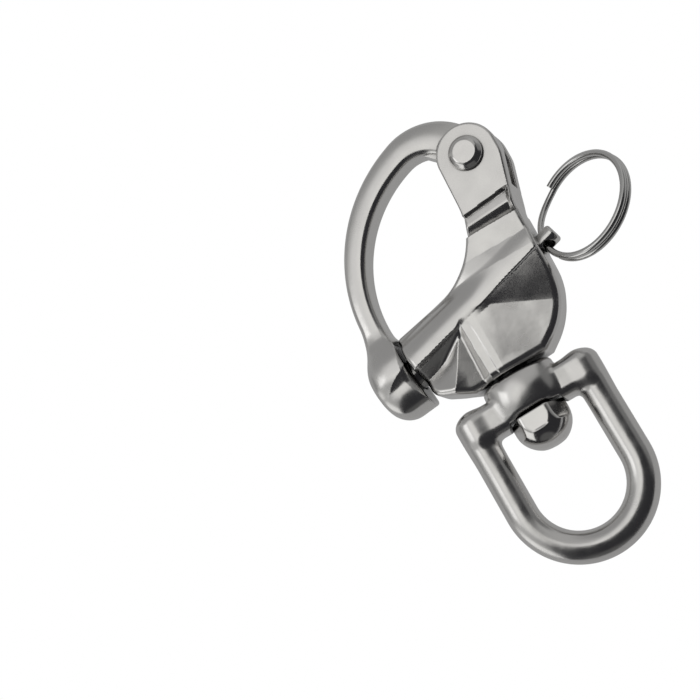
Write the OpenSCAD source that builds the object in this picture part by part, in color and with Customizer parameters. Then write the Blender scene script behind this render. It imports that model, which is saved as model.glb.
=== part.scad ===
// Swivel snap hook: cast body, hinged jaw, sprung plunger and a swivelling eye.
// Millimetres. +Y runs along the swivel axis towards the jaw, +X is the hinge side, +Z is the front.
// The hook lies on its back, and the origin is where a line bears inside the eye, at mid-thickness.

/* [Body] */
// Height of the jaw's pivot above the foot of the body
pivot_y = 38.3; // [37:0.1:40]
// Distance of the jaw's pivot from the swivel axis
pivot_x = 13.5; // [12.8:0.1:14.2]
// Radius of the fork's ears
ear_r = 5.8; // [5.2:0.1:6.2]
// Thickness over the fork's two ears
fork_t = 9.6; // [9.2:0.1:10.6]
// Thickness of the neck below the ears
neck_t = 8.2; // [7.6:0.1:8.8]
// Width of the slot between the ears
slot_w = 4.2; // [3.6:0.1:4.8]
// Thickness of the body at its outer rim
rim_t = 8.6; // [8:0.1:9.2]
// Width of the raised rim around the recesses
rim_w = 1.2; // [0.9:0.1:1.6]
// Depth of the recesses below the rim, next to the barrel
recess_depth = 2; // [1.4:0.1:2.2]
// Distance of the recesses' sharp edge below the plunger's axis
edge_drop = 1.2; // [0.8:0.1:1.8]
// Distance of the mating face from the swivel axis
face_x = 15; // [14.5:0.1:16]
// Lean of the mating face from the swivel axis, in degrees
face_lean = 4; // [2:0.5:7]
// Distance of the body's hinge-side edge from the swivel axis
side_x = 15.6; // [15:0.1:16.2]
// Radius of the raised foot around the swivel bolt
foot_r = 7.2; // [6.6:0.1:7.4]
// Thickness of the foot and of the eye's collar, front to back
foot_t = 10.2; // [9.6:0.1:10.8]
// Radius of the rib that holds the swivel bolt
rib_r = 4.9; // [4.5:0.1:5.3]

/* [Barrel and plunger] */
// Rise of the plunger's axis towards the hinge side, in degrees
barrel_tilt = 14; // [12:0.5:16]
// Height at which the plunger's axis crosses the swivel axis
barrel_y = 13.4; // [13:0.1:14]
// Outer radius of the barrel at the mating face
barrel_r = 6.1; // [5.7:0.1:6.4]
// Outer radius of the barrel at the pull end
barrel_end_r = 5.1; // [4.8:0.1:5.5]
// Diameter of the plunger's locking tip
tip_d = 6; // [5.4:0.1:6.4]
// Length of the locking tip inside the jaw
tip_reach = 3.2; // [2.4:0.1:3.6]
// Diameter of the plunger's stem and its pull end
stem_d = 3.7; // [3.5:0.1:4]
// Length of the pull end that stands out of the body
stub_l = 3.8; // [3.6:0.1:4.5]
// Diameter of the spring's wire
spring_wire = 0.7; // [0.5:0.1:0.8]
// Number of turns of the spring
spring_turns = 6; // [4:1:8]

/* [Jaw] */
// Thickness of the jaw's bow, front to back
jaw_t = 5.8; // [5.4:0.1:6.4]
// Width of the bow at its free limb
bow_w = 4.3; // [4:0.1:4.6]
// Width of the bow at its crown
crown_w = 5.6; // [5.2:0.1:6]
// Inner radius of the bow
bow_r = 24.4; // [24:0.1:25]
// Radius of the edges of the bow's section
bow_edge_r = 1.3; // [0.8:0.1:1.8]
// Length of the knuckle that the plunger locks
knuckle_l = 7.7; // [7.2:0.1:8.2]
// Radius of the knuckle
knuckle_r = 6.9; // [6.6:0.1:7.2]

/* [Pivot rivet] */
// Diameter of the rivet's shank
rivet_d = 4.6; // [4:0.1:5]
// Diameter of the rivet's heads at their base
rivet_head_d = 6.6; // [6.2:0.1:7.4]
// Diameter of the flat on top of the rivet's heads
rivet_flat_d = 4.7; // [4.2:0.1:5.2]
// Height of the rivet's heads
rivet_head_h = 1.6; // [1.2:0.1:2]

/* [Swivel eye] */
// Diameter of the eye's round bar
bar_d = 5.9; // [5.4:0.1:6.3]
// Width inside the eye
eye_w = 16.7; // [15.6:0.1:18]
// Length inside the eye, from the crossbar to the bow
eye_l = 22; // [20:0.5:25]
// Diameter of the eye's crossbar
crossbar_d = 6.7; // [6.2:0.1:7]
// Width of the eye's collar
collar_w = 14.6; // [13.6:0.1:15]
// Height of the eye's collar
collar_l = 7.6; // [7:0.1:8.4]
// Radius of the collar's lower edge
collar_edge_r = 1.1; // [0.6:0.1:1.5]
// Turn of the eye about the swivel axis, in degrees
eye_turn = 7; // [0:1:45]

/* [Swivel bolt] */
// Diameter of the bolt's shank
bolt_d = 6; // [5.4:0.1:6.4]
// Depth of the shank inside the body
bolt_depth = 6.5; // [5:0.1:7]
// Diameter of the bolt's domed head
bolt_head_d = 10.9; // [10.2:0.1:11.6]
// Height of the bolt's head
bolt_head_l = 7; // [6.4:0.1:7.6]
// Distance across the flats on the head
bolt_flats = 9.7; // [9.3:0.1:10]

/* [Pull ring] */
// Outer diameter of the split ring
ring_od = 20.6; // [18:0.1:23]
// Diameter of the split ring's wire
ring_wire = 1.2; // [1:0.1:1.3]
// Turns of wire in the split ring
ring_turns = 1.74; // [1.65:0.01:1.85]
// Turn of the ring's hole about the plunger, in degrees
ring_roll = 28; // [20:1:40]
// Slant of the ring's wire in its hole, in degrees
ring_slant = 12; // [10:0.5:13]
// Swing of the ring about its wire in the hole, in degrees
ring_swing = 12; // [0:1:30]

/* [Fits] */
// Radial clearance of the parts that turn or slide
running_gap = 0.08; // [0.05:0.01:0.1]
// Gap at the side of the jaw's tongue
slot_gap = 0.15; // [0.1:0.05:0.3]
// Gap between the closed jaw and the body
jaw_gap = 0.8; // [0.6:0.1:1]
// Gap between the swivel eye's collar and the parts above and below it
collar_gap = 0.3; // [0.2:0.05:0.4]
// Radial play of the split ring's wire in its hole
ring_play = 0.65; // [0.6:0.05:0.7]

/* [Hidden] */
$fn = 72;
past = 1; // how far a cut runs past a face
steel = [0.78, 0.78, 0.77];

// Places that follow from the sizes
pivot = [pivot_x, pivot_y];
barrel_dir = [cos(barrel_tilt), sin(barrel_tilt)];
collar_top = -collar_gap;
collar_foot = collar_top - collar_l;
head_sink = 1.1; // depth of the bolt's head in the crossbar
crossbar_y = collar_foot + crossbar_d / 2 - head_sink;
eye_reach = eye_l + crossbar_d / 2 - crossbar_y;
leg_x = (eye_w + bar_d) / 2;
bow_centre_y = -eye_reach + eye_w / 2;
foot_front_r = 9.6; // radius of the foot's front and back
collar_front_r = 14; // radius of the collar's front and back
collar_corner_r = 7.8; // distance of the collar's corners from the swivel axis
mate = [-face_x, barrel_y - face_x * tan(barrel_tilt)];
mate_s = -face_x / cos(barrel_tilt);
guide_l = 7; // length of the plunger's thick part inside the body
spring_l = 13;
shoulder_s = mate_s + guide_l;
tip_end_s = mate_s - jaw_gap - tip_reach;
side_s = side_x / cos(barrel_tilt);
stem_end_s = side_s + stub_l;
ring_hole_s = stem_end_s - 2.5;

// Plane geometry
function unit(v) = v / norm(v);
function swing(r, a) = r * [cos(a), sin(a)];
function turn_between(a, b) = atan2(a.x * b.y - a.y * b.x, a * b);
function arc(centre, r, from, to, steps) =
    [for (i = [0:steps]) centre + swing(r, from + (to - from) * i / steps)];
// Points of a round corner of radius r at b, between the lines towards a and c
function corner(a, b, c, r, steps = 8) =
    let (u = unit(a - b), w = unit(c - b))
    let (half = acos(u * w) / 2)
    let (centre = b + unit(u + w) * r / sin(half))
    let (first = b + u * r / tan(half) - centre)
    let (last = b + w * r / tan(half) - centre)
    arc(centre, r, atan2(first.y, first.x), atan2(first.y, first.x) + turn_between(first, last), steps);
// A place on the plunger's axis, at the distance s from the swivel axis
function on_barrel(s) = [0, barrel_y] + s * barrel_dir;

// Outline of the body, seen from the front
foot_left = [-foot_r - 0.2, 0];
heel = [-face_x + 0.9, 3.4];
lip = mate + [0, 0.6] + barrel_r * [-sin(face_lean), cos(face_lean)];
throat = [pivot_x - ear_r - 1.1, 19.9];
neck = [side_x + 0.6, 25.5];
brow = [pivot_x + ear_r - 0.1, pivot_y - 3.2];
hip = [side_x + 0.1, 5.2];
foot_right = [foot_r + 0.5, 0];
ear_left = pivot - [ear_r, 0];
ear_right = pivot + [ear_r, 0];
throat_r = 13.6;
body_points = concat(
    [foot_left],
    corner(foot_left, heel, lip, 3),
    corner(heel, lip, throat, 0.9),
    corner(lip, throat, ear_left, throat_r, 20),
    arc(pivot, ear_r, 180, 0, 32),
    corner(ear_right, brow, neck, 7),
    corner(brow, neck, hip, 10),
    corner(neck, hip, foot_right, 14, 16),
    [foot_right]
);

module place() {
    translate([0, eye_reach, 0]) children();
}

// Turns a solid drawn along +Z so that it lies on the plunger's axis, starting at s
module along_barrel(s) {
    translate([on_barrel(s).x, on_barrel(s).y, 0]) rotate([0, 90, barrel_tilt]) children();
}

// Turns a solid drawn along +Z so that it points down the swivel axis from y
module down_swivel(y) {
    translate([0, y, 0]) rotate([90, 0, 0]) children();
}

module slab(t) {
    translate([0, 0, -t / 2]) linear_extrude(t) children();
}

// A flattened section of thickness foot_t, with fronts of radius r, from y downwards
module flattened(y, h, r) {
    offset_z = r - foot_t / 2;
    intersection() {
        translate([0, 0, offset_z]) down_swivel(y) cylinder(h = h, r = r);
        translate([0, 0, -offset_z]) down_swivel(y) cylinder(h = h, r = r);
    }
}

module both_faces() {
    children();
    mirror([0, 0, 1]) children();
}

// Everything on the body's side of the mating face
module body_side() {
    translate([mate.x, mate.y, 0]) rotate([0, 0, face_lean]) translate([0, -30, -10]) cube([50, 80, 20]);
}

// The recesses on the front face: a steep wall under the barrel's sharp edge, then a sloping floor
module recess() {
    deep_z = rim_t / 2 - recess_depth;
    shallow_z = rim_t / 2 - 0.5;
    edge_z = barrel_end_r - 0.15;
    intersection() {
        along_barrel(-30) linear_extrude(60) polygon([[-15, -edge_drop], [-edge_z, -edge_drop],
            [-deep_z, -edge_drop - 3.8], [-deep_z, -edge_drop - 5.5], [-shallow_z, -14], [-shallow_z, -40], [-15, -40]]);
        linear_extrude(15) offset(delta = -rim_w) polygon(body_points);
    }
}

// The crease across the recess at the jaw's side
module crease() {
    base_z = rim_t / 2 - recess_depth - 0.2;
    base = [[-face_x + 2.4, 7.2], [-face_x + 2.2, 4.6], [-9.6, 2.2], [-3.6, 1.4], [-3.6, 11]];
    high_end = [-4, 11.2, rim_t / 2];
    low_end = [-9.6, 2.6, rim_t / 2 - 0.4];
    hull() {
        translate([0, 0, base_z]) linear_extrude(0.1) polygon(base);
        translate(high_end) sphere(0.25, $fn = 16);
        translate(low_end) sphere(0.25, $fn = 16);
    }
}

module barrel() {
    overrun = 3;
    intersection() {
        along_barrel(mate_s - overrun)
            cylinder(h = side_s - mate_s + 2 * overrun, r1 = barrel_r, r2 = barrel_end_r);
        slab(3 * barrel_r) polygon(body_points);
    }
}

// The shoulder between the barrel and the neck's step, on both faces
module shoulder() {
    half = [[barrel_y - 1, 5.3], [17.5, 5.4], [20.6, 5], [24, 5.3], [25.3, 5.1], [26, neck_t / 2 - 0.2]];
    ramp_start = -14;
    ramp_end = 6;
    ramp_z = 5.6;
    intersection() {
        rotate([90, 0, 90]) linear_extrude(60, center = true)
            polygon(concat(half, [for (i = [len(half) - 1:-1:0]) [half[i].x, -half[i].y]]));
        rotate([-90, 0, 0]) linear_extrude(40) polygon([[ramp_start, 0], [ramp_end, ramp_z], [40, ramp_z],
            [40, -ramp_z], [ramp_end, -ramp_z]]);
        slab(3 * barrel_r) polygon(body_points);
    }
}

// The flat-sided neck and the thicker ears of the fork
module fork() {
    neck_start = [0, 25];
    ear_start = [0, 28.2];
    ear_slope = 3;
    slab(neck_t) intersection() {
        polygon(body_points);
        translate(neck_start) square([40, 8]);
    }
    slab(fork_t) intersection() {
        polygon(body_points);
        translate(ear_start) rotate(ear_slope) square([40, 40]);
    }
}

// The rib and the foot around the swivel bolt
module foot() {
    band = 0.9;
    flare = 3.2;
    intersection() {
        union() {
            down_swivel(band) cylinder(h = band, r = foot_r);
            down_swivel(band + flare) cylinder(h = flare, r1 = rib_r, r2 = foot_r);
            down_swivel(barrel_y) cylinder(h = barrel_y, r = rib_r);
        }
        flattened(barrel_y, barrel_y, foot_front_r);
        slab(foot_t) polygon(body_points);
    }
}

module body_bores() {
    along_barrel(tip_end_s) cylinder(h = shoulder_s + spring_l - tip_end_s, d = tip_d + 2 * running_gap);
    along_barrel(0) cylinder(h = 40, d = stem_d + 2 * running_gap);
    down_swivel(bolt_depth) cylinder(h = bolt_depth + past, d = bolt_d);
    translate([pivot.x, pivot.y, -fork_t]) cylinder(h = 2 * fork_t, d = rivet_d);
}

// The slot that the jaw's tongue turns in, deeper at the hinge side
module fork_slot() {
    sweep_r = ear_r + 1.2;
    floor_slope = 30;
    slab(slot_w) {
        translate(pivot) circle(sweep_r);
        translate(pivot - [0, sweep_r - 0.6]) rotate(-floor_slope) square([30, 30]);
        translate(pivot - [30, 2]) square([30, 30]);
    }
}

module body() {
    plate_end = 27.4;
    color(steel) place() difference() {
        intersection() {
            union() {
                difference() {
                    union() {
                        slab(rim_t) difference() {
                            polygon(body_points);
                            translate([0, plate_end]) square([40, 40]);
                        }
                        barrel();
                        shoulder();
                    }
                    both_faces() recess();
                }
                fork();
                foot();
                both_faces() crease();
            }
            body_side();
        }
        fork_slot();
        body_bores();
    }
}

// The bow is a round-edged section swept along its inner edge: a large arc from the knuckle to the
// crown, then a small arc towards the ears
bow_centre = [8.1, 20.2];
crown_angle = 104;
ear_angle = 32;
root_angle = 196;
limb_angle = 178;
turn_r = 6.3;
turn_centre = bow_centre + swing(bow_r - turn_r, crown_angle);
function bow_inner(a) = a > crown_angle ? bow_centre + swing(bow_r, a) : turn_centre + swing(turn_r, a);
// The limb widens to the crown and from there to the ears
function crown_part(a) = pow(max(0, limb_angle - a) / (limb_angle - crown_angle), 1.6);
function root_part(a) = max(0, a - limb_angle) / (root_angle - limb_angle);
function bow_width(a) = a > limb_angle ? bow_w + 2.2 * root_part(a)
    : a > crown_angle ? bow_w + (crown_w - bow_w) * crown_part(a)
    : crown_w + (crown_angle - a) / 50;
function bow_half(a) = jaw_t / 2 + 1.3 * root_part(a);
// Quarter by quarter around the section, of width w and half-thickness h
function bow_section(w, h) =
    [for (q = [0:3]) for (i = [0:3])
        let (sx = (q == 0 || q == 3) ? 1 : -1)
        let (sz = q < 2 ? 1 : -1)
        [w / 2 + sx * (w / 2 - bow_edge_r), sz * (h - bow_edge_r)] + swing(bow_edge_r, 90 * q + 30 * i)];
function bow_ring(a) =
    [for (p = bow_section(bow_width(a), bow_half(a)))
        [bow_inner(a).x + cos(a) * p.x, bow_inner(a).y + sin(a) * p.x, p.y]];
bow_angles = concat([for (a = [root_angle:-4:crown_angle + 4]) a], [for (a = [crown_angle:-9:ear_angle]) a]);

// A solid through rings of points
module swept(rings) {
    n = len(rings[0]);
    m = len(rings);
    points = [for (r = rings) for (p = r) p];
    sides = [for (i = [0:m - 2]) for (j = [0:n - 1])
        [i * n + j, (i + 1) * n + j, (i + 1) * n + (j + 1) % n, i * n + (j + 1) % n]];
    caps = [[for (j = [0:n - 1]) j], [for (j = [n - 1:-1:0]) (m - 1) * n + j]];
    polyhedron(points = points, faces = concat(sides, caps), convexity = 6);
}

// The knuckle at the jaw's free end, turned about a line square to the mating face
module knuckle() {
    flange_r = knuckle_r - 0.6;
    flange_l = 1.5;
    end_r = 4.4;
    translate([mate.x, mate.y, 0]) rotate([0, 0, face_lean]) rotate([0, -90, 0]) translate([0, 0, jaw_gap])
        rotate_extrude() polygon(concat(
            [[0, 0], [flange_r, 0], [flange_r, flange_l], [knuckle_r, flange_l + 0.8]],
            arc([knuckle_r - end_r, knuckle_l - end_r], end_r, 0, 90, 12),
            [[0, knuckle_l]]));
}

module jaw() {
    tongue_t = slot_w - 2 * slot_gap;
    tongue_r = ear_r - 0.1;
    ear_clear = 0.3;
    tip_clear = 0.2;
    web = [pivot + swing(tongue_r, 152), [5.6, 44.2], [5.6, 49], [9.4, 48.2], [12.6, 46.2], pivot + swing(tongue_r, 30)];
    color(steel) place() difference() {
        union() {
            difference() {
                swept([for (a = bow_angles) bow_ring(a)]);
                slab(4 * jaw_t) translate(pivot) circle(ear_r + ear_clear);
            }
            slab(tongue_t) {
                translate(pivot) circle(tongue_r);
                polygon(web);
            }
            knuckle();
        }
        translate([pivot.x, pivot.y, -jaw_t]) cylinder(h = 2 * jaw_t, d = rivet_d + 2 * running_gap);
        along_barrel(tip_end_s - tip_clear) cylinder(h = 2 * tip_reach + 1, d = tip_d + 2 * running_gap + tip_clear);
        translate([mate.x, mate.y, 0]) rotate([0, 0, face_lean]) translate([-jaw_gap, -10, -10]) cube([5, 20, 20]);
    }
}

module pivot_rivet() {
    brim = 0.5;
    color(steel) place() translate([pivot.x, pivot.y, 0]) {
        cylinder(h = fork_t, d = rivet_d, center = true);
        both_faces() translate([0, 0, fork_t / 2]) {
            cylinder(h = brim, d = rivet_head_d);
            translate([0, 0, brim]) cylinder(h = rivet_head_h - brim, d1 = rivet_head_d, d2 = rivet_flat_d);
        }
    }
}

module plunger() {
    bevel = 0.8;
    end_r = 0.6;
    color(steel) place() difference() {
        along_barrel(0) rotate_extrude() polygon(concat(
            [[0, tip_end_s], [tip_d / 2 - bevel, tip_end_s], [tip_d / 2, tip_end_s + bevel],
                [tip_d / 2, shoulder_s], [stem_d / 2, shoulder_s]],
            arc([stem_d / 2 - end_r, stem_end_s - end_r], end_r, 0, 90, 6),
            [[0, stem_end_s]]));
        at_ring_hole() rotate([90, 0, 0]) cylinder(h = 3 * stem_d, d = ring_wire + 2 * ring_play, center = true);
    }
}

// Frame of the ring's hole: +X runs along the plunger and +Y along the hole
module at_ring_hole() {
    translate([on_barrel(ring_hole_s).x, on_barrel(ring_hole_s).y, 0])
        rotate([0, 0, barrel_tilt]) rotate([-ring_roll, 0, 0]) children();
}

// A round wire of the given number of turns from the angle start; rise gives its height at each turn
module coil(r, wire, start, turns, sides, rises) {
    last = len(rises) - 1;
    swept([for (i = [0:last])
        let (a = start + 360 * turns * i / last)
        [for (j = [0:sides - 1])
            let (b = -360 * j / sides)
            [(r + wire / 2 * cos(b)) * cos(a), (r + wire / 2 * cos(b)) * sin(a), rises[i] + wire / 2 * sin(b)]]]);
}

module plunger_spring() {
    steps = 16 * spring_turns;
    color(steel) place() along_barrel(shoulder_s + spring_wire / 2)
        coil((tip_d + stem_d) / 4, spring_wire, 0, spring_turns, 6,
            [for (i = [0:steps]) (spring_l - spring_wire) * i / steps]);
}

module swivel_bolt() {
    head_top = collar_foot - collar_gap;
    dome_r = bolt_head_d / 2;
    brim = 0.4;
    flats_l = 3.6;
    cheek = 2;
    color(steel) place() {
        down_swivel(bolt_depth) cylinder(h = bolt_depth - head_top, d = bolt_d);
        difference() {
            down_swivel(head_top) rotate_extrude() polygon(concat(
                [[0, 0], [dome_r - brim, 0], [dome_r, brim], [dome_r, cheek]],
                arc([0, bolt_head_l - dome_r], dome_r, 4, 76, 14),
                [[0, bolt_head_l - 0.15]]));
            for (i = [0:5]) down_swivel(head_top + past) rotate(60 * i + 30)
                translate([bolt_flats / 2, -10, 0]) cube([10, 20, flats_l + past]);
        }
    }
}

module swivel_eye() {
    brim = 0.3;
    corner_x = leg_x + bar_d / 2 - crossbar_d / 2 - 0.1;
    color(steel) place() rotate([0, eye_turn, 0]) difference() {
        union() {
            intersection() {
                down_swivel(collar_top) rotate_extrude() polygon(concat(
                    [[0, 0], [collar_corner_r - brim, 0], [collar_corner_r, brim]],
                    arc([collar_corner_r - collar_edge_r, collar_l - collar_edge_r], collar_edge_r, 0, 90, 8),
                    [[0, collar_l]]));
                flattened(collar_top, collar_l, collar_front_r);
                cube([collar_w, 4 * collar_l, 2 * foot_t], center = true);
            }
            translate([0, crossbar_y, 0]) rotate([0, 90, 0])
                cylinder(h = 2 * corner_x, d = crossbar_d, center = true);
            for (side = [-1, 1]) {
                translate([side * corner_x, crossbar_y, 0]) sphere(d = crossbar_d);
                translate([side * leg_x, bow_centre_y, 0]) rotate([-90, 0, 0])
                    cylinder(h = crossbar_y - bow_centre_y, d = bar_d);
            }
            translate([0, bow_centre_y, 0]) rotate([0, 0, 180]) rotate_extrude(angle = 180)
                translate([leg_x, 0]) circle(d = bar_d);
        }
        down_swivel(collar_top + past) cylinder(h = collar_l + 2 * past, d = bolt_d + 2 * running_gap);
        down_swivel(collar_foot) cylinder(h = crossbar_d, d = bolt_head_d + 2 * collar_gap);
    }
}

// The split ring: the wire changes layers just before it reaches the hole
module pull_ring() {
    mean_r = (ring_od - ring_wire) / 2;
    sag = pow(stem_d / 2, 2) / (4 * mean_r); // centres the curved wire in its straight hole
    pitch = ring_wire + 0.02;
    steps = 70;
    start = 206;
    change_start = 475;
    change_end = 530;
    angles = [for (i = [0:steps]) start + 360 * ring_turns * i / steps];
    rises = [for (a = angles) pitch * (1 - cos(180 * min(1, max(0, (a - change_start) / (change_end - change_start))))) / 2];
    color(steel) place() at_ring_hole() rotate([0, 0, -ring_slant]) rotate([0, -ring_swing, 0])
        translate([mean_r - sag, 0, -pitch]) coil(mean_r, ring_wire, start, ring_turns, 8, rises);
}

body();
jaw();
pivot_rivet();
plunger();
plunger_spring();
swivel_bolt();
swivel_eye();
pull_ring();
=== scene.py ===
import math

import bpy
import numpy as np
import openvdb
from mathutils import Matrix, Vector


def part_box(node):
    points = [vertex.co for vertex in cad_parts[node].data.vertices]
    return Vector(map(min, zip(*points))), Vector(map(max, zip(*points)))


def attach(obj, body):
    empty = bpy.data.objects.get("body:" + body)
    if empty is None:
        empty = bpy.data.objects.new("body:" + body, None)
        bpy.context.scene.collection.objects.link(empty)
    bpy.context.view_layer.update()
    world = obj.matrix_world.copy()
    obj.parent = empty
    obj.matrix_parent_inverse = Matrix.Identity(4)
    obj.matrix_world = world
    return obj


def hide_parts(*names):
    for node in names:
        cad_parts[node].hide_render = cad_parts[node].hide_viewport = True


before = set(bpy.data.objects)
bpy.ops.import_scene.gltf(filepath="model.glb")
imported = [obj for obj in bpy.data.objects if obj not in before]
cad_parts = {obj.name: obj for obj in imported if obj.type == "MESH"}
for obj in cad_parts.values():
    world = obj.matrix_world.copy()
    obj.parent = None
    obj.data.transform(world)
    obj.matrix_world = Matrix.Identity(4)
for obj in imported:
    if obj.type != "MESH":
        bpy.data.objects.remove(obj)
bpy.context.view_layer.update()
print("frame loaded:", len(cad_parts), "nodes")

# Lengths are in millimetres and angles in degrees: +Y runs towards the jaw, z is 0 in the mid plane
mm = 0.001
footY = 31.0  # from the frame's origin to the body's foot, where y is 0


# Distance fields: each takes arrays of x, y and z and is negative inside the solid
def roundMax(a, b, r):
    u = np.maximum(a + r, 0.0)
    v = np.maximum(b + r, 0.0)
    return np.minimum(np.maximum(a, b), -r) + np.sqrt(u * u + v * v)


def roundMin(a, b, r):
    return -roundMax(-a, -b, r)


def smoothMin(a, b, k):
    h = np.maximum(k - np.abs(a - b), 0.0) / k
    return np.minimum(a, b) - h * h * k / 4.0


def smoothMax(a, b, k):
    return -smoothMin(-a, -b, k)


def ramp(v, low, high):
    t = np.clip((v - low) / (high - low), 0.0, 1.0)
    return t * t * (3.0 - 2.0 * t)


def unit(v):
    return v / np.linalg.norm(v)


def polygonDistance(points, x, y):
    best = np.full(np.broadcast(x, y).shape, np.inf)
    inside = np.zeros(best.shape, bool)
    for a, b in zip(points, np.roll(points, -1, axis=0)):
        ex, ey = b - a
        wx, wy = x - a[0], y - a[1]
        t = np.clip((wx * ex + wy * ey) / (ex * ex + ey * ey), 0.0, 1.0)
        best = np.minimum(best, (wx - ex * t) ** 2 + (wy - ey * t) ** 2)
        if ey != 0.0:
            inside ^= ((a[1] <= y) != (b[1] <= y)) & (wx < ex * wy / ey)
    return np.where(inside, -1.0, 1.0) * np.sqrt(best)


def arcPoints(centre, r, start, end, steps):
    angles = np.radians(np.linspace(start, end, steps + 1))
    return [np.array([centre[0] + r * math.cos(a), centre[1] + r * math.sin(a)]) for a in angles]


def cornerPoints(a, b, c, r, steps):
    a, b, c = (np.array(p, float) for p in (a, b, c))
    u, w = unit(a - b), unit(c - b)
    half = math.acos(float(u @ w)) / 2.0
    centre = b + unit(u + w) * r / math.sin(half)
    first = b + u * r / math.tan(half) - centre
    last = b + w * r / math.tan(half) - centre
    start = math.degrees(math.atan2(first[1], first[0]))
    turn = math.degrees(math.atan2(first[0] * last[1] - first[1] * last[0], float(first @ last)))
    return arcPoints(centre, r, start, start + turn, steps)


# The body: a casting with the plunger's barrel across it and a fork for the jaw
barrel = {
    "tilt": 14.0, "y": 13.4, "radius": 6.1, "endRadius": 5.1, "bore": 3.08, "boreEnd": 4.0, "boreEdge": 0.3,
    "edgeDrop": 1.2, "lowerBend": 0.6, "gap": 0.8,
}
body = {
    "pivot": (13.5, 38.3), "earRadius": 5.8, "earHalf": 4.8, "earFoot": 28.2, "earLean": 0.0524, "earStep": 3.0,
    "faceX": 15.0, "faceLean": 4.0, "sideX": 15.6, "footRadius": 7.2, "footHalf": 5.1, "grid": 0.206,
}
# The outline's corners: how far each lies from the body's main lines, its radius and its steps
corners = {
    "footLeft": {"out": 0.2},
    "heel": {"back": 0.9, "y": 3.4, "radius": 3.0, "steps": 8},
    "lip": {"up": 0.6, "radius": 0.9, "steps": 6},
    "throat": {"out": 1.1, "y": 19.9, "radius": 13.6, "steps": 24},
    "brow": {"back": 0.1, "down": 3.2, "radius": 7.0, "steps": 10},
    "neck": {"out": 0.6, "y": 25.5, "radius": 10.0, "steps": 10},
    "hip": {"out": 0.1, "y": 5.2, "radius": 14.0, "steps": 20},
    "footRight": {"out": 0.5},
}
# Half thicknesses: the shoulder up the body, the plate behind it and the neck under the ears
shoulder = {
    "y": [17.5, 20.6, 23.2, 24.5, 24.9], "half": [5.3, 4.75, 4.9, 4.9, 2.5], "lean": 0.06, "leanX": 11.0,
    "sideX": 6.0, "sideHalf": 5.6, "sideRise": 0.28,
}
plate = {"half": 4.3, "top": 24.5, "throatDrop": 1.7, "throatU": -1.0}
neck = {
    "y": 26.5, "start": 24.2, "half": 4.1, "lowerFall": 0.5, "upperFall": 0.15,
    "rimX": 12.0, "rimWidth": 1.1, "rimRise": 1.5, "rimHeight": 1.0,
}
# The recesses under the barrel: the right panel, the left pocket by its depth under the barrel,
# the rib between them, the two facets left of the rib, and the foot's rim
panel = {"lip": 0.08, "level": 4.78, "fall": 0.13, "rise": 0.04, "start": 1.8, "spread": 0.86, "swell": 0.1}
pocket = {
    "u": [0.0, 1.2, 3.2, 8.0, 12.0], "half": [5.6, 4.95, 2.7, 4.4, 5.0], "creaseFall": 0.6,
    "fallStart": 2.5, "fallEnd": 4.5, "blendStart": -2.8, "blendEnd": -1.2,
}
wall = {"slope": 0.5, "pocketSlope": 2.0, "shift": 0.4, "start": 1.5, "end": 3.5}
rib = {"x": -1.6, "half": 1.45, "top": 5.15, "rise": 0.035, "leftFall": 1.1, "rightFall": 0.25}
facets = {
    "x": -4.0, "y": 11.2, "run": 0.651, "half": 4.5, "rise": 0.03, "footFall": 0.06,
    "leftFall": 0.45, "rightFall": 0.13, "endX": -1.0, "endY": 11.0,
}
footRim = {"crown": 0.045, "fall": 0.4, "sideX": -1.0, "sideFall": 0.3}
blend = {
    "shoulder": 1.2, "plate": 1.0, "panel": 0.3, "foot": 0.8, "facets": 0.4, "rib": 0.9, "recess": 0.5,
    "neck": 0.3, "neckDip": 0.5, "ears": 0.4,
}
bodyEdge = {"y": [10.0, 14.0, 25.0, 25.8], "radius": [1.3, 0.8, 0.7, 0.5]}
fork = {"half": 2.1, "clear": 1.2, "floorUp": 0.6, "turn": 30.0, "throatDrop": 2.0, "corner": 0.6, "edge": 0.25}


# A place as s along the barrel, towards the ring, and u across it, towards the foot
def alongBarrel(x, y):
    t = math.radians(barrel["tilt"])
    dy = y - barrel["y"]
    return x * math.cos(t) + dy * math.sin(t), x * math.sin(t) - dy * math.cos(t)


# Where the barrel's axis meets the body's left face, along the barrel and as a point
def mateAlong():
    return -body["faceX"] / math.cos(math.radians(barrel["tilt"]))


def matePoint():
    return np.array([-body["faceX"], barrel["y"] - body["faceX"] * math.tan(math.radians(barrel["tilt"]))])


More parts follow.
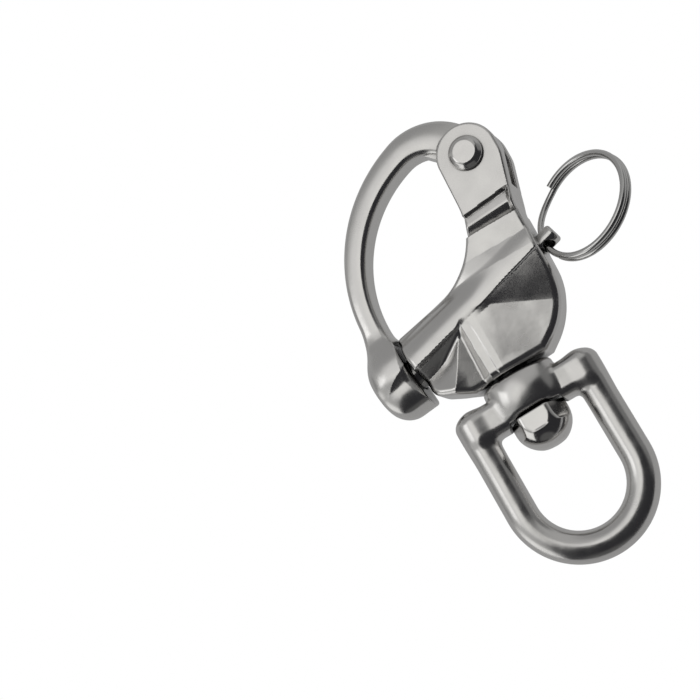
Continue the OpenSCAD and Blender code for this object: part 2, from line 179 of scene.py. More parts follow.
def bodyOutline():
    pivot = np.array(body["pivot"])
    lean = math.radians(body["faceLean"])
    lip = matePoint() + [0.0, corners["lip"]["up"]] + barrel["radius"] * np.array([-math.sin(lean), math.cos(lean)])
    earR = body["earRadius"]
    at = {
        "footLeft": (-body["footRadius"] - corners["footLeft"]["out"], 0.0),
        "heel": (-body["faceX"] + corners["heel"]["back"], corners["heel"]["y"]),
        "lip": lip,
        "throat": (pivot[0] - earR - corners["throat"]["out"], corners["throat"]["y"]),
        "brow": (pivot[0] + earR - corners["brow"]["back"], pivot[1] - corners["brow"]["down"]),
        "neck": (body["sideX"] + corners["neck"]["out"], corners["neck"]["y"]),
        "hip": (body["sideX"] + corners["hip"]["out"], corners["hip"]["y"]),
        "footRight": (body["footRadius"] + corners["footRight"]["out"], 0.0),
        "earLeft": pivot - [earR, 0.0], "earRight": pivot + [earR, 0.0],
    }
    points = [np.array(at["footLeft"])]
    for before, here, after in (("footLeft", "heel", "lip"), ("heel", "lip", "throat"), ("lip", "throat", "earLeft")):
        points += cornerPoints(at[before], at[here], at[after], corners[here]["radius"], corners[here]["steps"])
    points += arcPoints(pivot, earR, 180.0, 0.0, 36)
    for before, here, after in (("earRight", "brow", "neck"), ("brow", "neck", "hip"), ("neck", "hip", "footRight")):
        points += cornerPoints(at[before], at[here], at[after], corners[here]["radius"], corners[here]["steps"])
    return np.array(points + [np.array(at["footRight"])])


outline = bodyOutline()
print("body outline:", len(outline), "points")


def barrelRadius(s):
    start, end = -body["faceX"], body["sideX"]
    return barrel["radius"] + (barrel["endRadius"] - barrel["radius"]) * np.clip((s - start) / (end - start), 0.0, 1.0)


def barrelHeight(s, u):
    r = barrelRadius(s)
    lower = barrel["lowerBend"] * np.minimum(u, barrel["edgeDrop"])  # nearly flat down to its lower edge
    bend = np.where(u > 0.0, lower, u)
    return np.sqrt(np.maximum(r * r - bend * bend, 0.01))


def shoulderHeight(x, y):
    level = np.interp(y + shoulder["lean"] * (x - shoulder["leanX"]), shoulder["y"], shoulder["half"])
    side = shoulder["sideHalf"] + shoulder["sideRise"] * (x - shoulder["sideX"])
    return smoothMin(level, side, blend["shoulder"])


# The right panel, with a steeper triangle between the barrel's edge and the panel
def panelHeight(x, y, s, u):
    right = panel["level"] - panel["fall"] * x + panel["rise"] * y
    reach = np.maximum(panel["spread"] * (s - panel["start"]), 1.0)
    part = np.clip((u - barrel["edgeDrop"]) / reach, 0.0, 1.0)
    lip = barrelRadius(s) - panel["lip"]
    triangle = lip + (right - lip) * (part + panel["swell"] * part * (1.0 - part))
    return smoothMax(triangle, right, blend["panel"])


def facetHeight(x, y, creaseX):
    low = np.maximum(facets["y"] - y, 0.0)
    fall = np.where(x < creaseX, facets["leftFall"], facets["rightFall"])
    high = facets["half"] + facets["rise"] * (facets["y"] - y) - fall * np.abs(x - creaseX) - facets["footFall"] * low
    return high - np.maximum(x - facets["endX"], 0.0) - np.maximum(y - facets["endY"], 0.0)


def recessHeight(x, y, s, u):
    creaseX = facets["x"] + (y - facets["y"]) * facets["run"]
    left = np.interp(u, pocket["u"], pocket["half"])
    left = left - pocket["creaseFall"] * np.maximum(x - creaseX, 0.0) * ramp(u, pocket["fallStart"], pocket["fallEnd"])
    base = left + (panelHeight(x, y, s, u) - left) * ramp(x, pocket["blendStart"], pocket["blendEnd"])
    steep = wall["slope"] + wall["pocketSlope"] * ramp(np.abs(x - rib["x"] - wall["shift"]), wall["start"], wall["end"])
    base = base + np.maximum(barrel["edgeDrop"] - u, 0.0) * steep
    foot = body["footHalf"] - footRim["crown"] * x * x - footRim["fall"] * y
    foot = foot - footRim["sideFall"] * np.maximum(footRim["sideX"] - x, 0.0)
    top = rib["top"] + rib["rise"] * y
    top = top - rib["leftFall"] * np.maximum(rib["x"] - rib["half"] - x, 0.0)
    top = top - rib["rightFall"] * np.maximum(x - rib["x"] - rib["half"], 0.0)
    raised = smoothMax(top, facetHeight(x, y, creaseX), blend["facets"])
    return smoothMax(smoothMax(base, foot, blend["foot"]), raised, blend["rib"])


def neckHeight(x, y, edge):
    dip = neck["lowerFall"] * smoothMax(neck["y"] - y, 0.0, blend["neckDip"])
    dip = dip + neck["upperFall"] * np.maximum(y - neck["y"], 0.0)
    rim = np.maximum(edge + neck["rimWidth"], 0.0) * neck["rimRise"] * (x > neck["rimX"])
    return neck["half"] - dip + np.minimum(rim, neck["rimHeight"])


# Half the body's thickness at a place, where edge is the distance to the outline
def bodyHeight(x, y, edge):
    s, u = alongBarrel(x, y)
    behind = np.where(y < plate["top"], plate["half"] - plate["throatDrop"] * (u < plate["throatU"]), 0.0)
    high = smoothMax(barrelHeight(s, u), shoulderHeight(x, y), blend["shoulder"])
    high = smoothMax(high, behind, blend["plate"])
    high = smoothMin(high, recessHeight(x, y, s, u), blend["recess"])
    high = np.where(y > neck["start"], smoothMax(high, neckHeight(x, y, edge), blend["neck"]), high)
    below = np.maximum(body["earFoot"] + body["earLean"] * x - y, 0.0)
    return smoothMax(high, body["earHalf"] - below * body["earStep"], blend["ears"])


def forkSlot(x, y):
    px, py = body["pivot"]
    sweep = body["earRadius"] + fork["clear"]
    turn = math.radians(fork["turn"])
    fx, fy = x - px, y - (py - sweep + fork["floorUp"])
    along = fx * math.cos(turn) - fy * math.sin(turn)
    above = fx * math.sin(turn) + fy * math.cos(turn)
    side = roundMax(-along, -above, fork["corner"])
    left = np.maximum(x - px, py - fork["throatDrop"] - y)
    return np.minimum(np.minimum(np.hypot(x - px, y - py) - sweep, side), left)


def bodyField(x, y, z):
    edge = polygonDistance(outline, x, y)
    high = bodyHeight(x, y, edge)
    step = 0.02
    gx = (bodyHeight(x + step, y, edge) - high) / step
    gy = (bodyHeight(x, y + step, edge) - high) / step
    slope = np.sqrt(1.0 + np.minimum(gx * gx + gy * gy, 9.0))  # keeps the field a true distance on the slopes
    solid = roundMax(edge, (np.abs(z) - high) / slope, np.interp(y, bodyEdge["y"], bodyEdge["radius"]))
    solid = roundMax(solid, -np.maximum(forkSlot(x, y), np.abs(z) - fork["half"]), fork["edge"])
    s, u = alongBarrel(x, y)
    bore = np.maximum(np.sqrt(u * u + z * z) - barrel["bore"], s - barrel["boreEnd"])
    return roundMax(solid, -bore, barrel["boreEdge"])


# The jaw: a bow swept along its inner edge, a tongue in the fork and the knuckle that the plunger locks
jaw = {
    "centre": (8.1, 20.2), "innerRadius": 24.4, "turnRadius": 6.3, "crownAngle": 104.0, "limbAngle": 178.0,
    "limbWidth": 4.3, "crownWidth": 5.6, "taper": 1.6, "headGrowth": 0.02, "half": 2.9, "edge": 1.05, "grid": 0.17,
}
bowCrown = {"fall": 0.06, "place": 0.35, "reach": 4.0}
bowRoot = {
    "start": 176.0, "end": 196.0, "width": 2.4, "deepStart": 180.0, "deepEnd": 198.0, "deep": 1.5,
    "cut": 199.0, "cutSlope": 0.45, "headCut": 20.0, "headSlope": 0.15, "earClear": 0.3, "earEdge": 0.4,
}
knuckle = {
    "radius": 6.9, "flatten": 1.03, "length": 7.7, "endEdge": 4.4, "faceForward": 0.3, "faceEdge": 0.3,
    "half": 5.0, "ridge": 0.6, "ridgeStart": -1.6, "ridgeEnd": 1.4, "frontEdge": 2.2, "blend": 2.7,
    "cutDeep": 2.5, "cutHalf": 6.5, "cutEdge": 0.35,
}
tongue = {
    "clear": 0.1, "half": 1.95, "blend": 0.4,
    "web": [(8.3, 41.0), (5.6, 44.2), (5.6, 49.0), (9.4, 48.2), (12.6, 46.2), (18.5, 41.1)],
}
socket = {"clear": 0.1, "endClear": 0.2, "limitX": -20.0, "edge": 0.3}
farInside = -99.0  # a field value that never decides


def bowWidth(angle):
    part = np.clip((jaw["limbAngle"] - angle) / (jaw["limbAngle"] - jaw["crownAngle"]), 0.0, 1.0) ** jaw["taper"]
    wide = jaw["limbWidth"] + (jaw["crownWidth"] - jaw["limbWidth"]) * part
    wide = wide + bowRoot["width"] * ramp(angle, bowRoot["start"], bowRoot["end"])
    return wide + np.maximum(jaw["crownAngle"] - angle, 0.0) * jaw["headGrowth"]


def bowField(x, y, z):
    px, py = body["pivot"]
    cx, cy = jaw["centre"]
    crown = math.radians(jaw["crownAngle"])
    reach = jaw["innerRadius"] - jaw["turnRadius"]
    tx, ty = cx + reach * math.cos(crown), cy + reach * math.sin(crown)
    big = np.degrees(np.arctan2(y - cy, x - cx)) % 360.0
    small = np.degrees(np.arctan2(y - ty, x - tx))
    onBig = big > jaw["crownAngle"]
    angle = np.where(onBig, big, np.clip(small, 0.0, jaw["crownAngle"]))
    out = np.where(onBig, np.hypot(x - cx, y - cy) - jaw["innerRadius"], np.hypot(x - tx, y - ty) - jaw["turnRadius"])
    wide = bowWidth(angle)
    half = jaw["half"] + bowRoot["deep"] * ramp(big, bowRoot["deepStart"], bowRoot["deepEnd"]) * onBig
    half = half - bowCrown["fall"] * np.minimum(out - bowCrown["place"] * wide, bowCrown["reach"]) ** 2
    bow = roundMax(np.abs(out - wide / 2.0) - wide / 2.0, np.abs(z) - half, jaw["edge"])
    bow = np.maximum(bow, np.where(onBig, (big - bowRoot["cut"]) * bowRoot["cutSlope"], farInside))
    bow = np.maximum(bow, np.where(onBig, farInside, (bowRoot["headCut"] - small) * bowRoot["headSlope"]))
    clear = np.hypot(x - px, y - py) - (body["earRadius"] + bowRoot["earClear"])
    return roundMax(bow, -clear, bowRoot["earEdge"])


def jawField(x, y, z):
    mate = matePoint()
    lean = math.radians(body["faceLean"])
    nx, ny = math.cos(lean), math.sin(lean)
    depth = -((x - mate[0]) * nx + (y - mate[1]) * ny) - barrel["gap"]
    across = -(x - mate[0]) * ny + (y - mate[1]) * nx
    radial = np.sqrt(across * across + knuckle["flatten"] * z * z)
    front = knuckle["half"] + knuckle["ridge"] * ramp(across, knuckle["ridgeStart"], knuckle["ridgeEnd"])
    end = roundMax(radial - knuckle["radius"], depth - knuckle["length"], knuckle["endEdge"])
    end = roundMax(end, -knuckle["faceForward"] - depth, knuckle["faceEdge"])
    end = roundMax(end, np.abs(z) - front, knuckle["frontEdge"])
    solid = smoothMin(bowField(x, y, z), end, knuckle["blend"])
    deep = np.abs(depth + knuckle["cutDeep"]) - knuckle["cutDeep"] + knuckle["faceForward"]
    solid = roundMax(solid, -np.maximum(deep, np.abs(across) - knuckle["cutHalf"]), knuckle["cutEdge"])
    px, py = body["pivot"]
    disc = np.hypot(x - px, y - py) - (body["earRadius"] - tongue["clear"])
    web = polygonDistance(np.array(tongue["web"]), x, y)
    solid = np.minimum(solid, np.maximum(smoothMin(disc, web, tongue["blend"]), np.abs(z) - tongue["half"]))
    s, u = alongBarrel(x, y)
    bottom = mateAlong() - barrel["gap"] - plunger["tipReach"] - socket["endClear"]
    bore = np.maximum(np.sqrt(u * u + z * z) - (barrel["bore"] + socket["clear"]), bottom - s)
    return roundMax(solid, -np.maximum(bore, socket["limitX"] - x), socket["edge"])


# The swivel eye: a round bar bent to a long eye, its crossbar and the collar around the bolt
eye = {
    "bar": 2.95, "legX": 11.3, "bend": 8.35, "crossY": -5.65, "turn": 7.0, "bore": 3.08, "boreLength": 30.0,
    "legGrow": 0.2, "growLength": 7.0, "legEdge": 2.3, "frameBlend": 1.4, "collarBlend": 0.7, "grid": 0.2,
}
crossbar = {"half": 3.35, "deep": 3.1, "edge": 1.9, "endOut": 1.4, "endEdge": 2.2}
collar = {
    "top": -0.3, "length": 7.6, "half": 7.3, "front": 9.8, "corner": 7.8, "bulge": 0.05,
    "sideEdge": 0.5, "cornerEdge": 2.4, "topEdge": 1.0, "lowEdge": 1.2,
}
headSeat = {"radius": 5.75, "deep": 1.5, "edge": 0.2}


def eyeField(x, y, z):
    turn = math.radians(eye["turn"])
    lx = x * math.cos(turn) - z * math.sin(turn)
    lz = x * math.sin(turn) + z * math.cos(turn)
    ax = np.abs(lx)
    low = eye["bend"] - footY
    top = eye["crossY"]
    bend = np.sqrt((np.hypot(lx, np.minimum(y - low, 0.0)) - eye["legX"]) ** 2 + lz * lz)
    bar = np.where(y < low, bend, np.hypot(ax - eye["legX"], lz))
    legs = bar - eye["bar"] - eye["legGrow"] * ramp(y, top - eye["growLength"], top)
    legs = roundMax(legs, y - top - crossbar["half"], eye["legEdge"])
    cross = roundMax(np.abs(y - top) - crossbar["half"], np.abs(lz) - crossbar["deep"], crossbar["edge"])
    cross = roundMax(cross, ax - eye["legX"] - crossbar["endOut"], crossbar["endEdge"])
    down = collar["top"] - y
    bulge = collar["bulge"] * (down - 0.5 * collar["length"]) ** 2
    faces = np.hypot(lx, np.abs(lz) + collar["front"] - body["footHalf"] + bulge) - collar["front"]
    sides = roundMax(ax - collar["half"], np.hypot(lx, lz) - collar["corner"], collar["sideEdge"])
    sleeve = roundMax(roundMax(faces, sides, collar["cornerEdge"]), -down, collar["topEdge"])
    sleeve = roundMax(sleeve, down - collar["length"], collar["lowEdge"])
    solid = roundMin(smoothMin(legs, cross, eye["frameBlend"]), sleeve, eye["collarBlend"])
    hole = np.hypot(x, z)
    solid = np.maximum(solid, -np.maximum(hole - eye["bore"], down - eye["boreLength"]))
    seat = np.maximum(hole - headSeat["radius"], np.abs(collar["length"] + headSeat["deep"] - down) - headSeat["deep"])
    return roundMax(solid, -seat, headSeat["edge"])


# The bolt: a domed head with six flats and a shank into the body
bolt = {
    "radius": 5.45, "top": -8.2, "length": 7.0, "endFlat": 0.15, "flats": 4.85, "flatsLength": 3.6, "shank": 3.0,
    "shankTop": 6.5, "sink": 2.0, "endEdge": 0.5, "flatEdge": 0.35, "cornerEdge": 0.18, "topEdge": 0.3, "grid": 0.11,
}


def boltField(x, y, z):
    down = bolt["top"] - y
    r = bolt["radius"]
    radial = np.hypot(x, z)
    dome = np.sqrt(radial ** 2 + np.maximum(down - (bolt["length"] - r), 0.0) ** 2) - r
    head = roundMax(dome, down - (bolt["length"] - bolt["endFlat"]), bolt["endEdge"])
    flat = -bolt["flats"]
    for side in range(6):
        a = math.radians(60.0 * side + 30.0)
        flat = np.maximum(flat, x * math.cos(a) + z * math.sin(a) - bolt["flats"])
    cut = roundMax(-flat, down - bolt["flatsLength"], bolt["flatEdge"])
    head = roundMax(roundMax(head, -cut, bolt["cornerEdge"]), -down, bolt["topEdge"])
    shank = np.maximum(radial - bolt["shank"], np.maximum(y - bolt["shankTop"], down - bolt["sink"]))
    return np.minimum(head, shank)


# The rivet: a bevelled head on each ear and the shank between them
rivet = {
    "shank": 2.3, "head": 3.3, "flat": 2.35, "height": 1.6, "rim": 0.5, "sink": 0.4,
    "rimEdge": 0.25, "topEdge": 0.3, "grid": 0.1,
}


def rivetField(x, y, z):
    px, py = body["pivot"]
    radial = np.hypot(x - px, y - py)
    up = np.abs(z) - body["earHalf"]
    run = rivet["height"] - rivet["rim"]
    rise = rivet["head"] - rivet["flat"]
    bevel = ((radial - rivet["head"]) * run + (up - rivet["rim"]) * rise) / math.hypot(run, rise)
    head = roundMax(roundMax(radial - rivet["head"], bevel, rivet["rimEdge"]), up - rivet["height"], rivet["topEdge"])
    shank = np.maximum(radial - rivet["shank"], up - rivet["sink"])
    return np.minimum(np.maximum(head, -up), shank)


# The plunger: the locking tip, its stem and the knob with the ring's hole
plunger = {
    "tipRadius": 3.0, "tipReach": 3.2, "tipBack": 7.0, "stemRadius": 1.85, "stub": 3.8, "edge": 0.6,
    "holeBack": 2.5, "holeClear": 0.65, "holeEdge": 0.25, "grid": 0.11,
}


# The plunger's outer end, along the barrel
def knobEnd():
    return body["sideX"] / math.cos(math.radians(barrel["tilt"])) + plunger["stub"]


def plungerField(x, y, z):
    s, u = alongBarrel(x, y)
    mate = mateAlong()
    radial = np.sqrt(u * u + z * z)
    ends = np.maximum(mate - barrel["gap"] - plunger["tipReach"] - s, s - mate - plunger["tipBack"])
    tip = roundMax(radial - plunger["tipRadius"], ends, plunger["edge"])
    stem = np.maximum(roundMax(radial - plunger["stemRadius"], s - knobEnd(), plunger["edge"]), mate - s)
    roll = math.radians(ring["roll"])
    hole = np.hypot(s - knobEnd() + plunger["holeBack"], z * math.cos(roll) - u * math.sin(roll))
    hole = hole - (ring["wire"] / 2.0 + plunger["holeClear"])
    return roundMax(np.minimum(tip, stem), -hole, plunger["holeEdge"])


# Meshes
def addMesh(name, points, faces, normals):
    mesh = bpy.data.meshes.new(name)
    mesh.from_pydata(((points + [0.0, footY, 0.0]) * mm).tolist(), [], faces)
    mesh.update()
    mesh.polygons.foreach_set("use_smooth", [True] * len(mesh.polygons))
    mesh.normals_split_custom_set_from_vertices(normals.tolist())
    obj = bpy.data.objects.new(name, mesh)
    bpy.context.scene.collection.objects.link(obj)
    print("built", name, len(faces), "faces")
    return obj


def fieldGradient(field, p, h):
    x, y, z = p[:, 0], p[:, 1], p[:, 2]
    gx = field(x + h, y, z) - field(x - h, y, z)
    gy = field(x, y + h, z) - field(x, y - h, z)
    gz = field(x, y, z + h) - field(x, y, z - h)
    return np.stack([gx, gy, gz], 1) / (2.0 * h), field(x, y, z)


# A mesh on the zero surface of a field around a CAD node, with its vertices and normals taken from the field
def fieldMesh(name, field, node, step):
    margin = 1.037  # an odd amount, so that no grid point lies on a flat face
    band = 3.0  # cells on each side of the surface
    low, high = (np.array(corner) / mm - [0.0, footY, 0.0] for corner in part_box(node))
    low, high = low - margin, high + margin
    count = np.ceil((high - low) / step).astype(int) + 1
    axes = [low[i] + step * np.arange(count[i]) for i in range(3)]
    values = field(axes[0][:, None, None], axes[1][None, :, None], axes[2][None, None, :])
    values = np.clip(np.broadcast_to(values, tuple(count)) / step, -band, band).astype(np.float32)
    grid = openvdb.FloatGrid(band)
    grid.copyFromArray(np.ascontiguousarray(values))
    points, quads = grid.convertToQuads()
    points = points.astype(float) * step + low
    small = step * 0.15
    for pull in (0.9, 1.0, 1.0):  # each pull moves a point by half a cell at most
        gradient, value = fieldGradient(field, points, small)
        size = np.maximum((gradient ** 2).sum(1), 0.2)
        move = gradient * (value / size)[:, None] * pull
        length = np.linalg.norm(move, axis=1, keepdims=True)
        points = points - move * np.minimum(1.0, 0.5 * step / np.maximum(length, 1e-9))
    gradient = fieldGradient(field, points, small)[0]
    normals = gradient / np.maximum(np.linalg.norm(gradient, axis=1, keepdims=True), 1e-9)
    return addMesh(name, points, quads.tolist(), normals)


# A round wire along a path of points, with flat ends
def wireMesh(name, path, radius, sides):
    tangent = np.gradient(path, axis=0)
    tangent /= np.linalg.norm(tangent, axis=1, keepdims=True)
    side = unit(np.cross(tangent[0], [0.3, 0.2, 0.9]))  # any direction across the wire will do
    points, normals = [], []
    turns = 2.0 * math.pi * np.arange(sides) / sides
    for p, t in zip(path, tangent):
        side = unit(side - t * (side @ t))
        around = np.cos(turns)[:, None] * side + np.sin(turns)[:, None] * np.cross(t, side)
        points.append(p + radius * around)
        normals.append(around)
    n = len(path)
    faces = [(i * sides + j, i * sides + (j + 1) % sides, (i + 1) * sides + (j + 1) % sides, (i + 1) * sides + j)
             for i in range(n - 1) for j in range(sides)]
    points += [points[0], points[-1]]
    normals += [np.tile(-tangent[0], (sides, 1)), np.tile(tangent[-1], (sides, 1))]
    faces.append(tuple(n * sides + j for j in range(sides))[::-1])
    faces.append(tuple((n + 1) * sides + j for j in range(sides)))
    return addMesh(name, np.concatenate(points), faces, np.concatenate(normals))


# The split ring: a coil through the knob's hole, whose turns lie side by side where they overlap
ring = {
    "outer": 20.6, "wire": 1.2, "gap": 0.02, "turns": 1.74, "start": 206.0, "riseStart": 475.0, "riseEnd": 530.0,
    "roll": 28.0, "slant": 12.0, "swing": 12.0, "steps": 240, "sides": 20,
}


def turned(vector, axis, degrees):
    return np.array(Matrix.Rotation(math.radians(degrees), 3, Vector(axis)) @ Vector(vector))


def ringPath():
    t = math.radians(barrel["tilt"])
    along = np.array([math.cos(t), math.sin(t), 0.0])
    place = along * (knobEnd() - plunger["holeBack"]) + [0.0, barrel["y"], 0.0]
    hole = turned([-math.sin(t), math.cos(t), 0.0], along, -ring["roll"])
    front = np.cross(along, hole)
    along, hole = turned(along, front, -ring["slant"]), turned(hole, front, -ring["slant"])
    along, front = turned(along, hole, -ring["swing"]), turned(front, hole, -ring["swing"])
    r = (ring["outer"] - ring["wire"]) / 2.0
    sag = plunger["stemRadius"] ** 2 / (4.0 * r)
    angles = ring["start"] + 360.0 * ring["turns"] * np.linspace(0.0, 1.0, ring["steps"] + 1)
    rise = (ring["wire"] + ring["gap"]) * (ramp(angles, ring["riseStart"], ring["riseEnd"]) - 1.0)
    a = np.radians(angles)
    return place + (r - sag + r * np.cos(a))[:, None] * along + (r * np.sin(a))[:, None] * hole + rise[:, None] * front


# Materials: one steel in three finishes
def group(name, inputs, outputs):
    tree = bpy.data.node_groups.new(name, "ShaderNodeTree")
    for label, kind, value in inputs:
        tree.interface.new_socket(label, in_out="INPUT", socket_type=kind).default_value = value
    for label, kind in outputs:
        tree.interface.new_socket(label, in_out="OUTPUT", socket_type=kind)
    return tree, tree.nodes.new("NodeGroupInput"), tree.nodes.new("NodeGroupOutput")


# Noise of a given size in millimetres, in the piece's own space
def sizedNoise(tree, size, detail):
    place = tree.nodes.new("ShaderNodeTexCoord")
    scale = tree.nodes.new("ShaderNodeMath")
    scale.operation = "DIVIDE"
    scale.inputs[0].default_value = 1.0 / mm
    noise = tree.nodes.new("ShaderNodeTexNoise")
    noise.inputs["Detail"].default_value = detail
    tree.links.new(size, scale.inputs[1])
    tree.links.new(place.outputs["Object"], noise.inputs["Vector"])
    tree.links.new(scale.outputs[0], noise.inputs["Scale"])
    return noise.outputs["Fac"]


def inMillimetres(tree, value):
    scaled = tree.nodes.new("ShaderNodeMath")
    scaled.operation = "MULTIPLY"
    scaled.inputs[1].default_value = mm
    tree.links.new(value, scaled.inputs[0])
    return scaled.outputs[0]


# Broad lumps of the casting and fine grain
def wavyNormal():
    tree, given, result = group("wavyNormal", [
        ("Lump Size", "NodeSocketFloat", 6.0), ("Lump Height", "NodeSocketFloat", 0.02),
        ("Grain Size", "NodeSocketFloat", 0.6), ("Grain Height", "NodeSocketFloat", 0.001),
    ], [("Normal", "NodeSocketVector")])
    normal = None
    for label in ("Lump", "Grain"):
        bump = tree.nodes.new("ShaderNodeBump")
        tree.links.new(inMillimetres(tree, given.outputs[label + " Height"]), bump.inputs["Distance"])
        tree.links.new(sizedNoise(tree, given.outputs[label + " Size"], 2.0), bump.inputs["Height"])
        if normal is not None:
            tree.links.new(normal, bump.inputs["Normal"])
        normal = bump.outputs["Normal"]
    tree.links.new(normal, result.inputs["Normal"])
    return tree


def blotches():
    tree, given, result = group("blotches", [
        ("Size", "NodeSocketFloat", 3.0), ("Low", "NodeSocketFloat", 0.1), ("High", "NodeSocketFloat", 0.2),
    ], [("Value", "NodeSocketFloat")])
    span = tree.nodes.new("ShaderNodeMapRange")
    span.inputs["From Min"].default_value = 0.3  # the noise seldom leaves this range
    span.inputs["From Max"].default_value = 0.7
    tree.links.new(sizedNoise(tree, given.outputs["Size"], 4.0), span.inputs["Value"])
    tree.links.new(given.outputs["Low"], span.inputs["To Min"])
    tree.links.new(given.outputs["High"], span.inputs["To Max"])
    tree.links.new(span.outputs["Result"], result.inputs["Value"])
    return tree


# Base colour with painted shade: darker in the creases and hollows, where shade falls between the parts
def steelToneWithPaintedShade():
    tree, given, result = group("steelToneWithPaintedShade", [
        ("Color", "NodeSocketColor", (0.7, 0.7, 0.7, 1.0)), ("Painted Shade Color", "NodeSocketColor", (0.2, 0.2, 0.2, 1.0)),
        ("Painted Shade Width", "NodeSocketFloat", 0.8),
    ], [("Color", "NodeSocketColor")])
    # painted shade: ambient occlusion darkens the base colour in creases and corners
    paintedShade = tree.nodes.new("ShaderNodeAmbientOcclusion")
    paintedShade.samples = 8
    span = tree.nodes.new("ShaderNodeMapRange")
    span.inputs["From Min"].default_value = 0.22  # a hollow this deep has the full painted shade colour
    span.inputs["From Max"].default_value = 0.8
    mix = tree.nodes.new("ShaderNodeMix")
    mix.data_type = "RGBA"
    tree.links.new(inMillimetres(tree, given.outputs["Painted Shade Width"]), paintedShade.inputs["Distance"])
    tree.links.new(paintedShade.outputs["AO"], span.inputs["Value"])
    tree.links.new(span.outputs["Result"], mix.inputs["Factor"])
    tree.links.new(given.outputs["Painted Shade Color"], mix.inputs[6])
    tree.links.new(given.outputs["Color"], mix.inputs[7])
    tree.links.new(mix.outputs[2], result.inputs["Color"])
    return tree


# What each finish gives to the groups' sockets; the tone's dark colour and its width paint shade into the creases
finishes = {
    "castSteel": {
        "normal": {"Lump Size": 7.0, "Lump Height": 0.05, "Grain Size": 0.9, "Grain Height": 0.006},
        "rough": {"Size": 4.0, "Low": 0.18, "High": 0.28},
        "tone": {"Color": (0.7, 0.69, 0.675, 1.0), "Painted Shade Color": (0.07, 0.07, 0.07, 1.0), "Painted Shade Width": 1.8},
    },
    "turnedSteel": {
        "normal": {"Lump Size": 3.5, "Lump Height": 0.05, "Grain Size": 0.7, "Grain Height": 0.004},
        "rough": {"Size": 3.0, "Low": 0.12, "High": 0.2},
        "tone": {"Color": (0.7, 0.69, 0.675, 1.0), "Painted Shade Color": (0.07, 0.07, 0.07, 1.0), "Painted Shade Width": 2.4},
    },
    "springWire": {
        "normal": {"Lump Size": 2.0, "Lump Height": 0.01, "Grain Size": 0.4, "Grain Height": 0.001},
        "rough": {"Size": 2.0, "Low": 0.14, "High": 0.2},
        "tone": {"Color": (0.66, 0.655, 0.645, 1.0), "Painted Shade Color": (0.2, 0.2, 0.2, 1.0), "Painted Shade Width": 0.4},
    },
}
groups = {"normal": wavyNormal(), "rough": blotches(), "tone": steelToneWithPaintedShade()}


def steelMaterial(name):
    mat = bpy.data.materials.new(name)
    mat.use_nodes = True
    tree = mat.node_tree
    shader = tree.nodes["Principled BSDF"]
    shader.inputs["Metallic"].default_value = 1.0
    links = {"normal": ("Normal", "Normal"), "rough": ("Value", "Roughness"), "tone": ("Color", "Base Color")}
    for key, (source, target) in links.items():
        node = tree.nodes.new("ShaderNodeGroup")
        node.node_tree = groups[key]
        for label, value in finishes[name][key].items():
            node.inputs[label].default_value = value
        tree.links.new(node.outputs[source], shader.inputs[target])
    return mat


steels = {name: steelMaterial(name) for name in finishes}
print("steels made:", ", ".join(steels))


# Each piece stands for one CAD node and rides on one body
def dress(obj, owner, node, finish):
    obj.data.materials.append(steels[finish])
    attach(obj, owner)
    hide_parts(node)


pieces = [
    ("bodyCast", bodyField, body["grid"], "body", "body", "castSteel", "cast_steel"),
    ("jawCast", jawField, jaw["grid"], "jaw", "jaw", "castSteel", "cast_steel"),
    ("eyeCast", eyeField, eye["grid"], "swivel_eye", "swivel_eye", "castSteel", "cast_steel"),
    ("boltTurned", boltField, bolt["grid"], "body", "swivel_bolt", "turnedSteel", "turned_steel"),
    ("rivetTurned", rivetField, rivet["grid"], "body", "pivot_rivet", "turnedSteel", "turned_steel"),
    ("plungerTurned", plungerField, plunger["grid"], "plunger", "plunger", "turnedSteel", "turned_steel"),
]
for name, field, grid, owner, node, finish, slotName in pieces:
    dress(fieldMesh(name, field, node, grid), owner, node, finish)
wire = wireMesh("ringWire", ringPath(), ring["wire"] / 2.0, ring["sides"])
dress(wire, "pull_ring", "pull_ring", "springWire")
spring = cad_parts["plunger_spring"]
spring.data.materials.clear()
spring.data.materials.append(steels["springWire"])
print("pieces dressed")


# Camera, light and backdrop
camera = {
    "place": (45.47, -32.69, 279.6),
    "right": (0.8155, -0.4655, -0.344), "up": (0.5299, 0.8395, 0.1202), "back": (0.2328, -0.2803, 0.9312),
    "lens": 82.96, "sensor": 36.0, "near": 0.01, "far": 10.0,
}
window = {"place": (-300.0, 140.0, 320.0), "target": (0.0, 30.0, 0.0), "side": 0.18, "power": 0.08}
floor = {"side": 3.0, "z": -7.0, "shade": 0.8, "roughness": 0.9, "glossy": 0.4, "seen": 1.0}
# Regions of the studio: each is a cap around a direction, from its soft edge (start) to its core (end)
cards = [
    {"toward": (0.0, 0.0, 1.0), "start": -0.3, "end": 0.5, "shade": (0.46, 0.46, 0.455)},
    {"toward": (-0.2, 0.95, 0.25), "start": 0.7, "end": 0.9, "shade": (0.34, 0.34, 0.34)},
    {"toward": (-0.2, 0.24, 0.95), "start": 0.87, "end": 0.97, "shade": (0.82, 0.815, 0.81)},
    {"toward": (-0.04, 0.06, 0.99), "start": 0.93, "end": 0.975, "shade": (0.95, 0.945, 0.925)},
    {"toward": (-1.0, 0.25, 0.0), "start": 0.9, "end": 0.96, "shade": (0.28, 0.28, 0.28)},
    {"toward": (-0.9, -0.42, 0.12), "start": 0.86, "end": 0.95, "shade": (1.0, 1.0, 0.99)},
    {"toward": (0.45, -0.82, 0.3), "start": 0.245, "end": 0.29, "shade": (0.03, 0.03, 0.033)},
    {"toward": (0.97, 0.22, 0.1), "start": 0.86, "end": 0.93, "shade": (0.2, 0.2, 0.2)},
    {"toward": (-0.15, -0.98, 0.12), "start": 0.88, "end": 0.95, "shade": (0.1, 0.1, 0.1)},
]
underLevel = (0.5, 0.5, 0.5, 1.0)


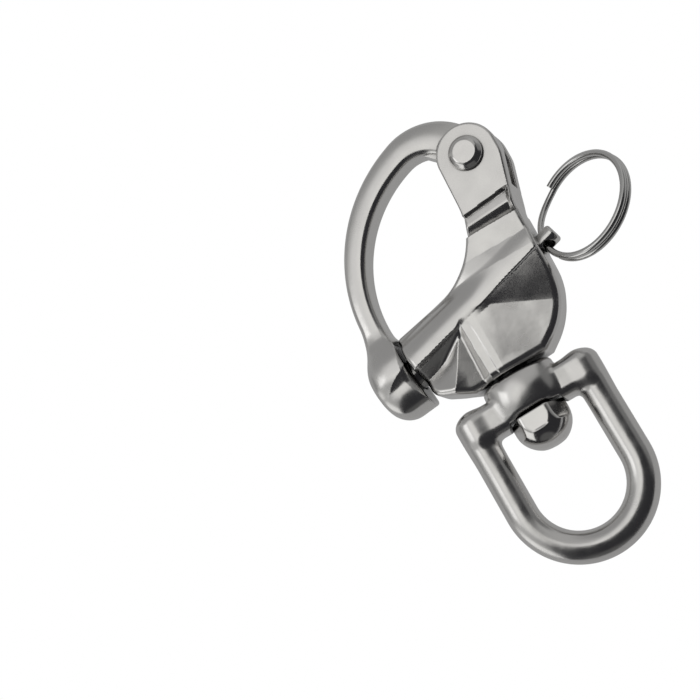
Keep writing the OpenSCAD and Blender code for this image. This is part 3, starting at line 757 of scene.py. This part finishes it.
def placeCamera():
    data = bpy.data.cameras.new("camera")
    obj = bpy.data.objects.new("camera", data)
    bpy.context.scene.collection.objects.link(obj)
    data.lens = camera["lens"]
    data.sensor_width = camera["sensor"]
    data.clip_start = camera["near"]
    data.clip_end = camera["far"]
    axes = Matrix((camera["right"], camera["up"], camera["back"])).transposed()
    obj.matrix_world = Matrix.Translation(Vector(camera["place"]) * mm) @ axes.to_4x4()
    bpy.context.scene.camera = obj


# One light or dark region of the studio, seen in the steel, laid over the level so far
def cardNodes(tree, direction, level, card):
    dot = tree.nodes.new("ShaderNodeVectorMath")
    dot.operation = "DOT_PRODUCT"
    dot.inputs[1].default_value = Vector(card["toward"]).normalized()
    span = tree.nodes.new("ShaderNodeMapRange")
    span.interpolation_type = "SMOOTHSTEP"
    span.inputs["From Min"].default_value = card["start"]
    span.inputs["From Max"].default_value = card["end"]
    mix = tree.nodes.new("ShaderNodeMix")
    mix.data_type = "RGBA"
    tree.links.new(direction, dot.inputs[0])
    tree.links.new(dot.outputs["Value"], span.inputs["Value"])
    tree.links.new(span.outputs["Result"], mix.inputs["Factor"])
    if level is None:
        mix.inputs[6].default_value = underLevel
    else:
        tree.links.new(level, mix.inputs[6])
    mix.inputs[7].default_value = (*card["shade"], 1.0)
    return mix.outputs[2]


def whiteWorld():
    world = bpy.data.worlds.new("studio")
    bpy.context.scene.world = world
    world.use_nodes = True
    tree = world.node_tree
    tree.nodes.clear()
    out = tree.nodes.new("ShaderNodeOutputWorld")
    path = tree.nodes.new("ShaderNodeLightPath")
    mix = tree.nodes.new("ShaderNodeMixShader")
    lit = tree.nodes.new("ShaderNodeBackground")
    seen = tree.nodes.new("ShaderNodeBackground")
    place = tree.nodes.new("ShaderNodeTexCoord")
    level = None
    for card in cards:
        level = cardNodes(tree, place.outputs["Generated"], level, card)
    tree.links.new(level, lit.inputs["Color"])
    seen.inputs["Color"].default_value = (1.0, 1.0, 1.0, 1.0)
    tree.links.new(path.outputs["Is Camera Ray"], mix.inputs[0])
    tree.links.new(lit.outputs[0], mix.inputs[1])
    tree.links.new(seen.outputs[0], mix.inputs[2])
    tree.links.new(mix.outputs[0], out.inputs["Surface"])


def windowLight():
    data = bpy.data.lights.new("window", "AREA")
    data.shape = "RECTANGLE"
    data.size = data.size_y = window["side"]
    data.energy = window["power"]
    obj = bpy.data.objects.new("window", data)
    bpy.context.scene.collection.objects.link(obj)
    place, target = Vector(window["place"]) * mm, Vector(window["target"]) * mm
    obj.matrix_world = Matrix.Translation(place) @ (target - place).to_track_quat("-Z", "Y").to_matrix().to_4x4()


def paleFloor():
    bpy.ops.mesh.primitive_plane_add(size=floor["side"], location=(0.0, 0.0, floor["z"] * mm))
    plane = bpy.context.object
    mat = bpy.data.materials.new("paleFloor")
    mat.use_nodes = True
    tree = mat.node_tree
    shader = tree.nodes["Principled BSDF"]
    shader.inputs["Base Color"].default_value = (floor["shade"], floor["shade"], floor["shade"], 1.0)
    shader.inputs["Roughness"].default_value = floor["roughness"]
    path = tree.nodes.new("ShaderNodeLightPath")
    surface = shader.outputs[0]
    for ray, level in (("Is Glossy Ray", floor["glossy"]), ("Is Camera Ray", floor["seen"])):
        glow = tree.nodes.new("ShaderNodeEmission")
        glow.inputs["Color"].default_value = (level, level, level, 1.0)
        mix = tree.nodes.new("ShaderNodeMixShader")
        tree.links.new(path.outputs[ray], mix.inputs[0])
        tree.links.new(surface, mix.inputs[1])
        tree.links.new(glow.outputs[0], mix.inputs[2])
        surface = mix.outputs[0]
    tree.links.new(surface, tree.nodes["Material Output"].inputs["Surface"])
    plane.data.materials.append(mat)


placeCamera()
whiteWorld()
paleFloor()
windowLight()
bpy.context.scene.view_settings.view_transform = "Standard"
print("camera, studio and floor placed")
